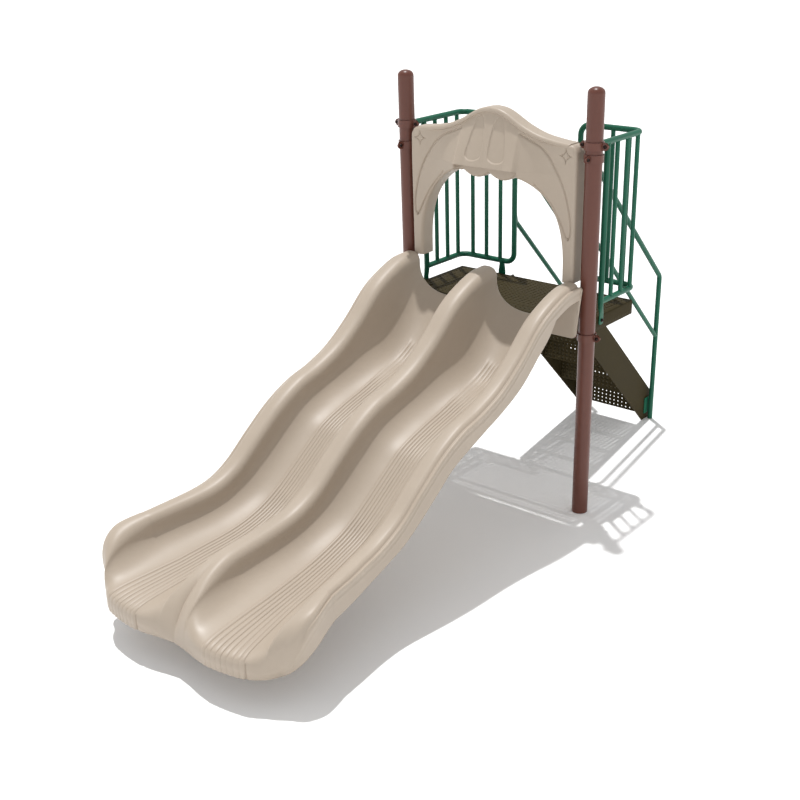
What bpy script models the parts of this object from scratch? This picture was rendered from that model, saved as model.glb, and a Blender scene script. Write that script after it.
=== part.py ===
"""Wave slide: a double-chute playground slide with its deck, posts, guards and stairs.

Metres, +Z up. The chutes run down towards -Y, the stairs climb from +Y, and the two
posts stand on either side. All pieces hang on one empty that moves the bounding box's
bottom centre to the world origin.
"""
import math

import bmesh
import bpy
from mathutils import Vector

# ---------------------------------------------------------------- driving dimensions
GAP = 0.0003                 # clearance between touching pieces

POST_X = 0.609               # posts stand 48 in apart, centre to centre
POST_R = 0.0445              # 3.5 in tube
POST_WALL = 0.0035
POST_TOP = 2.3065            # rim of the tube, under the cap
CAP_TOP = 2.338
CLAMP_R = 0.0535
CLAMP_EAR = 0.087            # reach of a clamp's ear from the post's axis
CLAMP_HALF = 0.020           # half height of a clamp
CLAMP_SWING = 30             # how far the guard clamps' outer ears turn to the front, degrees
CLAMP_Z = {"guard": 2.061, "panel_right": 1.994, "panel_left": 1.943, "deck": 1.0545}

DECK_Z = 1.133               # standing surface
DECK_HALF = 0.6055
DECK_FRONT = -0.036          # sunlight falls through the slot between deck and slide
DECK_BACK = 0.490
DECK_DEPTH = 0.079
SHEET = 0.004                # steel sheet of the deck and steps
NOTCH_HALF = 0.110           # deck corner cut away round each post, in x
NOTCH_BACK = 0.060

GUARD_X = 0.603
GUARD_Y = 0.495
GUARD_TOP = 2.0535
GUARD_LOW = 1.211
GUARD_END = 0.219
GUARD_FRONT = 0.140          # front leg of a guard
RAIL_R = 0.016
PICKET_R = 0.0125
SIDE_PICKETS = (0.240, 0.342, 0.445)
BACK_PICKETS = (0.525, 0.423, 0.321)
FOOT_X = 0.306

HAND_X = 0.264               # plane of each handrail
POLE_Y = 1.429
HAND_TOP = 1.915             # height of the upper handrail at y = STAIR_Y
HAND_LOW = 1.510             # height of the lower one there
STAIR_Y = 0.500

STRINGER_X = 0.238           # outer face
STRINGER_T = 0.005
STRINGER_DEEP = 0.282        # measured straight down
STAIR_FOOT_Y = 1.461
STEP_TOPS = (0.293, 0.503, 0.713, 0.923)
STEP_FIRST_Y = 1.286
STEP_RUN = 0.210

PANEL_FRONT = -0.052
PANEL_T = 0.100
PANEL_HALF = 0.540
PANEL_FOOT = 1.345
PANEL_BULGE = 0.072
PANEL_CORNER = 0.478         # where the panel's top meets its rounded corners
PANEL_STEPS = 20             # points along that top
ARCH_HALF = 0.470
ARCH_SPRING = 1.400
ARCH_RISE = 0.486
ARCH_POWER = 2.5
VALANCE_HALF = 0.208         # the scalloped strip over the opening
VALANCE_Z = 1.863
SCALLOP = 0.170

SLIDE_Y = -0.060             # entrance of the slide
NOSE_Y = -2.100              # where the exit's rounded nose begins
LIP_Z = 0.170                # lower edge of the exit
NOSE_FALL = 0.030            # how far the nose's lines sink before they turn down
SLIDE_WALL = 0.008
RIDGE_HALF = 0.064           # half width of a ridge between or beside the chutes
RIDGE_HIGH = 0.064
RIDGE_POWER = 2.6            # superellipse of the ridges' tops
CHUTE_POWER = 2.3            # and of the chutes
FLANGE_HALF = 0.585
FLANGE_LOW = 1.052

# (y, z) knots of the wave, from the entrance to the exit
CREST = ((-0.06, 1.362), (-0.18, 1.351), (-0.33, 1.298), (-0.44, 1.237), (-0.60, 1.104),
         (-0.76, 0.998), (-0.92, 0.933), (-1.08, 0.890), (-1.24, 0.814), (-1.40, 0.706),
         (-1.56, 0.590), (-1.70, 0.530), (-1.86, 0.506), (-2.10, 0.490))
CHUTE = ((-0.06, 1.148), (-0.12, 1.108), (-0.25, 0.990), (-0.37, 0.902), (-0.46, 0.858),
         (-0.60, 0.820), (-0.76, 0.773), (-0.93, 0.730), (-1.09, 0.676), (-1.20, 0.608),
         (-1.40, 0.475), (-1.52, 0.407), (-1.64, 0.364), (-1.80, 0.330), (-2.10, 0.300))
SKIRT = ((-0.06, 1.277), (-0.20, 1.275), (-0.27, 1.258), (-0.36, 1.150), (-0.45, 1.076),
         (-0.60, 0.957), (-0.76, 0.878), (-0.92, 0.818), (-1.08, 0.757), (-1.18, 0.712),
         (-1.28, 0.642), (-1.42, 0.545), (-1.56, 0.462), (-1.72, 0.410), (-1.90, 0.375),
         (-2.10, 0.345))
RAIL_X = ((-0.06, 0.546), (-1.62, 0.546), (-1.80, 0.563), (-1.95, 0.590), (-2.10, 0.613))
RAIL_OUT = ((-0.06, 0.062), (-1.62, 0.062), (-2.10, 0.044))

# (share of the half section, value) knots across the nose
LIP_END_X = ((0, 0.0), (0.15, 0.085), (0.326, 0.230), (0.40, 0.348), (0.474, 0.466),
             (0.65, 0.545), (0.8, 0.578), (1, 0.592))
LIP_END_Y = ((0, -2.478), (0.15, -2.489), (0.326, -2.512), (0.40, -2.505), (0.474, -2.480),
             (0.65, -2.428), (0.8, -2.375), (1, -2.345))
NOSE_POWER = ((0, 1.8), (0.15, 3.0), (0.24, 6.0), (0.326, 8.0), (0.474, 8.0), (0.56, 5.0),
              (0.65, 3.9), (0.8, 3.6), (0.9, 2.4), (1, 1.45))
NOSE_FLARE = ((0, 0.0), (0.5, 0.0), (0.8, 0.042), (1, 0.018))
NOSE_TUCK = ((0, 0.0), (0.5, 0.0), (0.75, 1.0), (1, 1.0))

LEG_X = 0.200                # hidden legs under the exit
LEG_Y = -1.950
LEG_R = 0.024
LEG_TOP = 0.300

COLOURS = {
    "plastic": ((0.56, 0.47, 0.38), 0.42, 0.0),
    "post_paint": ((0.135, 0.045, 0.032), 0.38, 0.0),
    "rail_paint": ((0.006, 0.110, 0.055), 0.38, 0.0),
    "deck_coat": ((0.045, 0.030, 0.020), 0.60, 0.0),
    "steel": ((0.35, 0.34, 0.33), 0.35, 1.0),
}

MIN_Y = -2.512
MAX_Y = STAIR_FOOT_Y
CENTRE_Y = (MIN_Y + MAX_Y) / 2


# ---------------------------------------------------------------- scene and materials
def clear_scene():
    for old in list(bpy.data.objects):
        bpy.data.objects.remove(old, do_unlink=True)


def make_collection(name):
    group = bpy.data.collections.new(name)
    bpy.context.scene.collection.children.link(group)
    return group


def make_material(name):
    colour, roughness, metallic = COLOURS[name]
    material = bpy.data.materials.new(name)
    material.use_nodes = True
    shader = material.node_tree.nodes["Principled BSDF"]
    shader.inputs["Base Color"].default_value = (*colour, 1.0)
    shader.inputs["Roughness"].default_value = roughness
    shader.inputs["Metallic"].default_value = metallic
    return material


def make_root():
    root = bpy.data.objects.new("root_frame", None)
    root.location = (0, -CENTRE_Y, 0)
    PARTS.objects.link(root)
    return root


def place(name, mesh, material, location=(0, 0, 0), rotation=(0, 0, 0), smooth=0.6):
    """Put a mesh in the model as a named part of its own material."""
    part = bpy.data.objects.new(name, mesh)
    mesh.materials.clear()
    mesh.materials.append(MATERIALS[material])
    part.location = location
    part.rotation_euler = rotation
    part.parent = ROOT
    PARTS.objects.link(part)
    if smooth:
        mesh.shade_smooth()
        mesh.set_sharp_from_angle(angle=smooth)
    return part


def mesh_from(bm, name):
    bmesh.ops.recalc_face_normals(bm, faces=bm.faces)
    mesh = bpy.data.meshes.new(name)
    bm.to_mesh(mesh)
    bm.free()
    return mesh


def curve_to_mesh(curve, name):
    """Evaluate a curve and weld its caps."""
    holder = bpy.data.objects.new(name, curve)
    PARTS.objects.link(holder)
    bpy.context.view_layer.update()
    depsgraph = bpy.context.evaluated_depsgraph_get()
    mesh = bpy.data.meshes.new_from_object(holder.evaluated_get(depsgraph))
    bpy.data.objects.remove(holder, do_unlink=True)
    bm = bmesh.new()
    bm.from_mesh(mesh)
    bmesh.ops.remove_doubles(bm, verts=bm.verts, dist=0.00005)
    bmesh.ops.recalc_face_normals(bm, faces=bm.faces)
    bm.to_mesh(mesh)
    bm.free()
    return mesh


# ---------------------------------------------------------------- shape helpers
def smooth(knots, at):
    """A smooth curve through (position, value) knots, flat past its ends."""
    rising = knots if knots[0][0] < knots[-1][0] else tuple(reversed(knots))
    if at <= rising[0][0]:
        return rising[0][1]
    if at >= rising[-1][0]:
        return rising[-1][1]
    last = len(rising) - 1
    k = max(i for i in range(last) if rising[i][0] <= at)

    def slope(i):
        low = max(i - 1, 0)
        high = min(i + 1, last)
        return (rising[high][1] - rising[low][1]) / (rising[high][0] - rising[low][0])

    span = rising[k + 1][0] - rising[k][0]
    t = (at - rising[k][0]) / span
    start = rising[k][1] * (2 * t**3 - 3 * t**2 + 1) + slope(k) * span * (t**3 - 2 * t**2 + t)
    end = rising[k + 1][1] * (3 * t**2 - 2 * t**3) + slope(k + 1) * span * (t**3 - t**2)
    return start + end


def ease(value, low, high):
    """0 up to low, 1 past high, and a soft step between them."""
    t = min(max((value - low) / (high - low), 0.0), 1.0)
    return t * t * (3 - 2 * t)


def arc_points(centre, radius, start, end, steps):
    """Points along an arc in a plane, angles in degrees."""
    points = []
    for i in range(steps + 1):
        angle = math.radians(start + (end - start) * i / steps)
        points.append((centre[0] + radius * math.cos(angle), centre[1] + radius * math.sin(angle)))
    return points


def bent_path(corners, radius, steps=5):
    """Points along straight runs whose corners are rounded to one radius."""
    corners = [Vector(c) for c in corners]
    points = [corners[0]]
    for before, corner, after in zip(corners, corners[1:], corners[2:]):
        into = (corner - before).normalized()
        out = (after - corner).normalized()
        turn = into.angle(out)
        reach = radius * math.tan(turn / 2)
        centre = corner + (out - into).normalized() * (radius / math.cos(turn / 2))
        arm = corner - into * reach - centre
        axis = into.cross(out).normalized()
        for i in range(steps + 1):
            angle = turn * i / steps
            turned = arm * math.cos(angle) + axis.cross(arm) * math.sin(angle)
            points.append(centre + turned)
    points.append(corners[-1])
    return points


def tube(name, points, radius, material, resolution=2):
    """A round tube along a path, with closed ends."""
    curve = bpy.data.curves.new(name, "CURVE")
    curve.dimensions = "3D"
    curve.bevel_depth = radius
    curve.bevel_resolution = resolution
    curve.use_fill_caps = True
    spline = curve.splines.new("POLY")
    spline.points.add(len(points) - 1)
    for knot, point in zip(spline.points, points):
        knot.co = (*point, 1.0)
    return place(name, curve_to_mesh(curve, name), material)


def flat_mesh(name, outlines, thickness):
    """A flat plate in local x and y, centred on z = 0. Later outlines are holes."""
    curve = bpy.data.curves.new(name, "CURVE")
    curve.dimensions = "2D"
    curve.fill_mode = "BOTH"
    curve.extrude = thickness / 2
    for outline in outlines:
        spline = curve.splines.new("POLY")
        spline.points.add(len(outline) - 1)
        for knot, (x, y) in zip(spline.points, outline):
            knot.co = (x, y, 0, 1)
        spline.use_cyclic_u = True
    return curve_to_mesh(curve, name)


def cylinder(name, radius, length, location, material, rotation=(0, 0, 0), segments=16):
    bm = bmesh.new()
    bmesh.ops.create_cone(bm, cap_ends=True, segments=segments, radius1=radius,
                          radius2=radius, depth=length)
    return place(name, mesh_from(bm, name), material, location, rotation)


def box_mesh(name, size, corner=0.0):
    bm = bmesh.new()
    bmesh.ops.create_cube(bm, size=1)
    bmesh.ops.scale(bm, vec=size, verts=bm.verts)
    if corner:
        bmesh.ops.bevel(bm, geom=bm.edges[:], offset=corner, segments=1, affect="EDGES")
    return mesh_from(bm, name)


def turned(name, profile, material, location, steps=24):
    """A closed (radius, height) profile turned about z. It runs down its outer side."""
    mesh = bpy.data.meshes.new(name)
    count = len(profile)
    on_axis = profile[0][0] == 0 and profile[-1][0] == 0
    edges = [(i, i + 1) for i in range(count - 1)]
    if not on_axis:
        edges.append((count - 1, 0))
    mesh.from_pydata([(r, 0, z) for r, z in profile], edges, [])
    part = place(name, mesh, material, location, smooth=0)
    screw = part.modifiers.new("turn", "SCREW")
    screw.steps = steps
    screw.render_steps = steps
    screw.use_merge_vertices = True
    screw.merge_threshold = 0.0001
    screw.use_smooth_shade = False
    return part


def loft(name, rings, material, location=(0, 0, 0)):
    """A closed body through rings that all have the same number of points."""
    bm = bmesh.new()
    loops = [[bm.verts.new(point) for point in ring] for ring in rings]
    size = len(loops[0])
    for low, high in zip(loops, loops[1:]):
        for i in range(size):
            j = (i + 1) % size
            bm.faces.new((low[i], low[j], high[j], high[i]))
    bm.faces.new(loops[0])
    bm.faces.new(loops[-1])
    return place(name, mesh_from(bm, name), material, location)


def oval(half_x, half_y, z, centre=(0, 0), power=2.0, count=12):
    """A ring of points on a superellipse at one height."""
    ring = []
    for i in range(count):
        angle = 2 * math.pi * i / count
        c = math.cos(angle)
        s = math.sin(angle)
        x = math.copysign(abs(c) ** (2 / power), c)
        y = math.copysign(abs(s) ** (2 / power), s)
        ring.append((centre[0] + half_x * x, centre[1] + half_y * y, z))
    return ring


# ---------------------------------------------------------------- posts and clamps
def post(side, sign):
    inner = POST_R - POST_WALL
    profile = ((POST_R, POST_TOP), (POST_R, 0.0), (0.0, 0.0), (0.0, POST_WALL),
               (inner, POST_WALL), (inner, POST_TOP))
    turned("post_" + side, profile, "post_paint", (sign * POST_X, 0, 0))


def post_cap(side, sign):
    rim = POST_TOP + GAP
    plug_r = POST_R - POST_WALL - GAP
    rise = CAP_TOP - rim
    profile = []
    for i in range(6):
        angle = math.pi / 2 * i / 5
        profile.append((POST_R * math.sin(angle), rim + rise * math.cos(angle)))
    profile[0] = (0.0, CAP_TOP)
    profile += [(plug_r, rim), (plug_r, rim - 0.025), (0.0, rim - 0.025)]
    turned("post_cap_" + side, profile, "post_paint", (sign * POST_X, 0, 0))


def clamp(name, centre, angle):
    """A two-ear pipe clamp: a collar with a flat ear on each side."""
    half = math.degrees(math.asin(0.010 / CLAMP_R))
    outer = arc_points((0, 0), CLAMP_R, half, 180 - half, 10)
    outer += [(-CLAMP_EAR, 0.010), (-CLAMP_EAR, -0.010)]
    outer += arc_points((0, 0), CLAMP_R, 180 + half, 360 - half, 10)
    outer += [(CLAMP_EAR, -0.010), (CLAMP_EAR, 0.010)]
    hole = arc_points((0, 0), POST_R + GAP * 3, 0, 345, 23)
    mesh = flat_mesh(name, (outer, hole), CLAMP_HALF * 2)
    place(name, mesh, "post_paint", centre, (0, 0, math.radians(angle)))


def clamp_bolt(name, centre, angle):
    """A hex bolt head on the front face of a clamp's ear."""
    turn = math.radians(angle)
    reach = 0.074
    out = Vector((math.cos(turn), math.sin(turn), 0))
    face = Vector((math.sin(turn), -math.cos(turn), 0))
    if face.y > 0.001:
        face = -face
    middle = Vector(centre) + out * reach + face * (0.010 + GAP + 0.005)
    cylinder(name, 0.0095, 0.010, middle, "steel", (math.pi / 2, 0, turn), segments=6)


def make_posts():
    for side, sign in (("left", -1), ("right", 1)):
        post(side, sign)
        post_cap(side, sign)
        out = 0 if sign > 0 else 180
        guard_turn = out - sign * CLAMP_SWING
        clamps = (("guard", CLAMP_Z["guard"], guard_turn),
                  ("panel", CLAMP_Z["panel_" + side], -90), ("deck", CLAMP_Z["deck"], out))
        for kind, z, turn in clamps:
            centre = (sign * POST_X, 0, z)
            clamp(kind + "_clamp_" + side, centre, turn)
            clamp_bolt(kind + "_clamp_bolt_" + side, centre, turn)


# ---------------------------------------------------------------- deck
def make_deck():
    """An inverted tray of sheet steel with its front corners open round the posts."""
    inner = DECK_HALF - NOTCH_HALF
    outline = ((-inner, DECK_FRONT), (inner, DECK_FRONT), (inner, NOTCH_BACK),
               (DECK_HALF, NOTCH_BACK), (DECK_HALF, DECK_BACK), (-DECK_HALF, DECK_BACK),
               (-DECK_HALF, NOTCH_BACK), (-inner, NOTCH_BACK))
    bm = bmesh.new()
    top = [bm.verts.new((x, y, DECK_Z)) for x, y in outline]
    low = [bm.verts.new((x, y, DECK_Z - DECK_DEPTH)) for x, y in outline]
    bm.faces.new(top)
    for i in range(len(outline)):
        j = (i + 1) % len(outline)
        bm.faces.new((top[i], low[i], low[j], top[j]))
    part = place("deck", mesh_from(bm, "deck"), "deck_coat", smooth=0)
    wall = part.modifiers.new("wall", "SOLIDIFY")
    wall.thickness = SHEET
    wall.offset = -1
    wall.use_even_offset = True


# ---------------------------------------------------------------- guards
def guard_frame(side, sign):
    """The bent tube of one guard: side rail, back rail, end and lower rail in one."""
    start = POST_R + 0.016
    corners = ((sign * GUARD_X, start, GUARD_TOP), (sign * GUARD_X, GUARD_Y, GUARD_TOP),
               (sign * GUARD_END, GUARD_Y, GUARD_TOP), (sign * GUARD_END, GUARD_Y, GUARD_LOW),
               (sign * GUARD_X, GUARD_Y, GUARD_LOW),
               (sign * GUARD_X, GUARD_FRONT + RAIL_R + 0.001, GUARD_LOW))
    tube("guard_frame_" + side, bent_path(corners, 0.050, 4), RAIL_R, "rail_paint")


def guard_leg(side, sign):
    """The front upright, whose foot is flattened into a tab outside the deck."""
    top = GUARD_TOP - RAIL_R - GAP
    tab_x = sign * (DECK_HALF + GAP + 0.004)
    x = sign * GUARD_X
    rings = (oval(RAIL_R, RAIL_R, top, (x, GUARD_FRONT)),
             oval(RAIL_R, RAIL_R, 1.200, (x, GUARD_FRONT)),
             oval(0.004, 0.021, 1.148, (tab_x, GUARD_FRONT), 4),
             oval(0.004, 0.021, 1.085, (tab_x, GUARD_FRONT), 4))
    loft("guard_leg_" + side, rings, "rail_paint")


def guard_foot(side, sign):
    """The short leg from the lower rail to the deck's back flange."""
    x = sign * FOOT_X
    tab_y = DECK_BACK + GAP + 0.004
    rings = (oval(RAIL_R, RAIL_R, GUARD_LOW - RAIL_R - GAP, (x, GUARD_Y)),
             oval(RAIL_R, RAIL_R, 1.185, (x, GUARD_Y)),
             oval(0.025, 0.004, 1.150, (x, tab_y), 4),
             oval(0.025, 0.004, 1.085, (x, tab_y), 4))
    loft("guard_foot_" + side, rings, "rail_paint")


def guard_pickets(side, sign):
    low = GUARD_LOW + RAIL_R + GAP
    high = GUARD_TOP - RAIL_R - GAP
    spots = [(sign * GUARD_X, y) for y in SIDE_PICKETS]
    spots += [(sign * x, GUARD_Y) for x in BACK_PICKETS]
    for number, (x, y) in enumerate(spots, 1):
        name = "guard_picket_" + side + "_" + str(number)
        cylinder(name, PICKET_R, high - low, (x, y, (low + high) / 2), "rail_paint", segments=10)


def guard_bolts(side, sign):
    x = sign * (DECK_HALF + 0.012 + 2 * GAP)
    cylinder("guard_leg_bolt_" + side, 0.009, 0.007, (x, GUARD_FRONT, 1.109), "steel",
             (0, math.pi / 2, 0), segments=8)
    y = DECK_BACK + 0.012 + 2 * GAP
    cylinder("guard_foot_bolt_" + side, 0.009, 0.007, (sign * FOOT_X, y, 1.109), "steel",
             (math.pi / 2, 0, 0), segments=8)


def make_guards():
    for side, sign in (("left", -1), ("right", 1)):
        guard_frame(side, sign)
        guard_leg(side, sign)
        guard_foot(side, sign)
        guard_pickets(side, sign)
        guard_bolts(side, sign)


# ---------------------------------------------------------------- stairs and handrails
def handrail(side, sign):
    x = sign * HAND_X
    start = sign * (GUARD_END + RAIL_R + 0.0135)
    bend = HAND_TOP - (POLE_Y - STAIR_Y)
    corners = ((start, STAIR_Y + 0.020, HAND_TOP - 0.020), (x, STAIR_Y + 0.075, HAND_TOP - 0.075),
               (x, POLE_Y, bend), (x, POLE_Y, 0))
    tube("handrail_" + side, bent_path(corners, 0.040, 3), RAIL_R, "rail_paint")
    meet = POLE_Y - RAIL_R - 0.010
    low = (HAND_LOW - 0.020, HAND_LOW - 0.075, HAND_LOW - (meet - STAIR_Y))
    corners = ((start, STAIR_Y + 0.020, low[0]), (x, STAIR_Y + 0.075, low[1]), (x, meet, low[2]))
    tube("handrail_lower_" + side, bent_path(corners, 0.040, 3), RAIL_R - 0.002, "rail_paint")


def stringer(side, sign):
    """A plate cut along the stair's slope, in the YZ plane."""
    top_y = STAIR_Y + 1.1446 - (DECK_Z - 0.001)
    start = DECK_BACK + GAP
    low = 1.1446 - STRINGER_DEEP
    outline = ((start, DECK_Z - 0.001), (start, low - (start - STAIR_Y)), (low + STAIR_Y, 0),
               (STAIR_FOOT_Y, 0), (STAIR_FOOT_Y, 1.1446 - (STAIR_FOOT_Y - STAIR_Y)),
               (top_y, DECK_Z - 0.001))
    mesh = flat_mesh("stringer_" + side, (outline,), STRINGER_T)
    x = sign * (STRINGER_X - STRINGER_T / 2)
    upright = (math.pi / 2, 0, math.pi / 2)
    place("stringer_" + side, mesh, "deck_coat", (x, 0, 0), upright, smooth=0)


def step(number, top):
    """One step: a folded sheet with its tread on top and its riser hanging in front."""
    front = STEP_FIRST_Y - STEP_RUN * (number - 1)
    width = 2 * (STRINGER_X - STRINGER_T - GAP)
    drop = 0.208
    back = STEP_RUN - SHEET - GAP
    outline = ((0, 0), (-back, 0), (-back, -SHEET), (-SHEET, -SHEET), (-SHEET, -drop), (0, -drop))
    name = "step_" + str(number)
    mesh = flat_mesh(name, (outline,), width)
    upright = (math.pi / 2, 0, math.pi / 2)
    place(name, mesh, "deck_coat", (0, front, top), upright, smooth=0)


def handrail_tab(side, sign):
    """The plate between a pole and its stringer, bolted near the ground."""
    size = (0.008, 0.068, 0.110)
    x = sign * (STRINGER_X + GAP + size[0] / 2)
    y = POLE_Y - RAIL_R - 0.001
    place("handrail_tab_" + side, box_mesh("handrail_tab", size, 0.0015), "rail_paint",
          (x, y, 0.098), smooth=0)


def make_stairs():
    for side, sign in (("left", -1), ("right", 1)):
        stringer(side, sign)
        handrail(side, sign)
        handrail_tab(side, sign)
    for number, top in enumerate(STEP_TOPS, 1):
        step(number, top)


# ---------------------------------------------------------------- arch panel
def panel_top(x):
    """Height of the panel's upper outline at a distance from the middle."""
    knots = ((0, 2.197), (0.05, 2.191), (0.10, 2.174), (0.20, 2.122), (0.30, 2.085),
             (0.40, 2.067), (0.50, 2.057))
    return smooth(knots, abs(x))


def arch_height(x):
    share = min(abs(x) / ARCH_HALF, 1.0)
    return ARCH_SPRING + ARCH_RISE * (1 - share ** ARCH_POWER) ** (1 / ARCH_POWER)


def valance_height(x):
    """Lower edge over the opening: one scallop on each side of the middle."""
    x = abs(x)
    if x < SCALLOP:
        return VALANCE_Z - 0.034 * math.sin(math.pi * x / SCALLOP)
    return VALANCE_Z


def arch_points():
    """The opening's outline from its right foot over the top to its left foot."""
    half = [(ARCH_HALF, PANEL_FOOT)]
    for i in range(12):
        angle = math.pi / 2 * i / 13
        x = ARCH_HALF * math.cos(angle) ** (2 / ARCH_POWER)
        if x > VALANCE_HALF + 0.005:
            half.append((x, arch_height(x)))
    half.append((VALANCE_HALF, valance_height(VALANCE_HALF)))
    for i in range(7):
        x = SCALLOP * (1 - i / 6)
        half.append((x, valance_height(x)))
    return half + [(-x, z) for x, z in reversed(half[:-1])]


def make_panel():
    """The moulded arch between the posts, whose middle bulges forwards."""
    radius = 0.045
    top = [(PANEL_HALF, PANEL_FOOT)]
    top += arc_points((PANEL_HALF - radius, 2.052 - radius), radius, 0, 75, 3)
    for i in range(PANEL_STEPS + 1):
        x = PANEL_CORNER * (1 - 2 * i / PANEL_STEPS)
        top.append((x, panel_top(x)))
    top += [(-x, z) for x, z in reversed(top[1:5])]
    top.append((-PANEL_HALF, PANEL_FOOT))
    outline = top + [(x, z) for x, z in reversed(arch_points())]
    mesh = flat_mesh("arch_panel", (outline,), PANEL_T)
    for vertex in mesh.vertices:
        share = min(abs(vertex.co.x) / 0.300, 1.0)
        if vertex.co.y > 1.7:
            vertex.co.z += PANEL_BULGE * math.cos(math.pi / 2 * share) ** 2
    place("arch_panel", mesh, "plastic", (0, PANEL_FRONT + PANEL_T / 2, 0), (math.pi / 2, 0, 0))


# ---------------------------------------------------------------- slide
def section(y, counts):
    """Half of the slide's cross-section at one y, from the middle ridge to the skirt.

    Returns (share, x, z) points; share runs 0 at the middle to 1 at the skirt's edge.
    """
    ridge, chute, rail = counts
    high = smooth(CREST, y)
    rail_x = smooth(RAIL_X, y)
    spring = high - RIDGE_HIGH
    power = 2 / RIDGE_POWER
    middle = rail_x / 2
    half = rail_x / 2 - RIDGE_HALF
    points = []
    for i in range(ridge + 1):
        angle = math.pi / 2 * i / ridge
        x = RIDGE_HALF * math.sin(angle) ** power
        z = spring + RIDGE_HIGH * max(math.cos(angle), 0) ** power
        points.append((0.15 * i / ridge, x, z))
    low = smooth(CHUTE, y)
    for i in range(1, chute):
        angle = math.pi * i / chute
        c = math.cos(angle)
        side = math.copysign(abs(c) ** (2 / CHUTE_POWER), c)
        x = middle - half * side
        z = spring - (spring - low) * math.sin(angle) ** (2 / CHUTE_POWER)
        across = 0.5 - 0.5 * side
        points.append((0.15 + 0.25 * (i / chute + across), x, z))
    outer = smooth(RAIL_OUT, y)
    for i in range(2 * rail + 1):
        angle = math.pi / 2 * (1 - i / rail)
        s = math.sin(angle)
        reach = RIDGE_HALF if s > 0 else outer
        x = rail_x - reach * math.copysign(abs(s) ** power, s)
        z = spring + RIDGE_HIGH * max(math.cos(angle), 0) ** power
        points.append((0.65 + 0.30 * i / (2 * rail), x, z))
    skirt = min(smooth(SKIRT, y), spring - 0.012)
    points.append((1.0, rail_x + outer, skirt))
    return points


def nose_row(start, along):
    """One row of the rounded exit, between the last section and the lip's lower edge.

    Each line of the surface falls to the lip along a superellipse. The rails flare
    outwards first and are tucked in again as they fall.
    """
    row = []
    for share, x, z in start:
        power = smooth(NOSE_POWER, share)
        drop = (1 - along ** power) ** (1 / power)
        tuck = smooth(NOSE_TUCK, share)
        late = 1.3 + 1.2 * ease(share, 0.8, 1.0)
        pull = (1 - tuck) * along + tuck * (1 - drop) ** late
        wide = x + smooth(NOSE_FLARE, share) * ease(along, -0.15, 0.60)
        end_y = smooth(LIP_END_Y, share)
        falling = z - NOSE_FALL * along
        row.append((wide + (smooth(LIP_END_X, share) - wide) * pull,
                    NOSE_Y + (end_y - NOSE_Y) * along,
                    LIP_Z + (falling - LIP_Z) * drop))
    return row


def slide_rows(stations, counts, nose_steps):
    """Rows of points of the half slide, from the flange's foot to the lip's edge."""
    rows = []
    first = section(SLIDE_Y, counts)
    foot = []
    outer = smooth(RAIL_OUT, SLIDE_Y) + smooth(RAIL_X, SLIDE_Y)
    for share, x, _ in first:
        foot.append((x / outer * FLANGE_HALF * (0.90 + 0.10 * share), SLIDE_Y, FLANGE_LOW))
    rows.append(foot)
    for i in range(stations + 1):
        y = SLIDE_Y + (NOSE_Y - SLIDE_Y) * i / stations
        rows.append([(x, y, z) for _, x, z in section(y, counts)])
    start = section(NOSE_Y, counts)
    for i in range(1, nose_steps + 1):
        rows.append(nose_row(start, math.sin(math.pi / 2 * i / nose_steps)))
    return rows


def make_slide():
    """The one-piece double chute: an open surface mirrored and given a wall."""
    rows = slide_rows(26, (3, 10, 3), 7)
    bm = bmesh.new()
    grid = [[bm.verts.new(point) for point in row] for row in rows]
    for low, high in zip(grid, grid[1:]):
        for i in range(len(low) - 1):
            bm.faces.new((low[i], high[i], high[i + 1], low[i + 1]))
    mesh = bpy.data.meshes.new("slide")
    bm.to_mesh(mesh)
    bm.free()
    part = place("slide", mesh, "plastic", smooth=1.0)
    mirror = part.modifiers.new("other_half", "MIRROR")
    mirror.use_axis = (True, False, False)
    mirror.merge_threshold = 0.0001
    wall = part.modifiers.new("wall", "SOLIDIFY")
    wall.thickness = SLIDE_WALL
    wall.offset = -1


def make_exit_legs():
    """Two hidden legs that carry the exit: tube, foot plate and saddle in one loft."""
    for side, sign in (("left", -1), ("right", 1)):
        centre = (sign * LEG_X, LEG_Y)
        rings = (oval(0.060, 0.060, 0.0, centre, 5), oval(0.060, 0.060, 0.008, centre, 5),
                 oval(LEG_R, LEG_R, 0.0085, centre), oval(LEG_R, LEG_R, LEG_TOP - 0.0085, centre),
                 oval(0.045, 0.045, LEG_TOP - 0.008, centre, 5),
                 oval(0.045, 0.045, LEG_TOP, centre, 5))
        loft("exit_leg_" + side, rings, "post_paint")


# ---------------------------------------------------------------- build
clear_scene()
PARTS = make_collection("wave_slide")
MATERIALS = {name: make_material(name) for name in COLOURS}
ROOT = make_root()

make_posts()
make_deck()
make_guards()
make_stairs()
make_panel()
make_slide()
make_exit_legs()
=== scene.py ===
"""Looks of the wave slide: materials, detailed pieces, studio and camera."""
import math

import bmesh
import bpy
import numpy as np
from mathutils import Matrix, Vector


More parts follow.
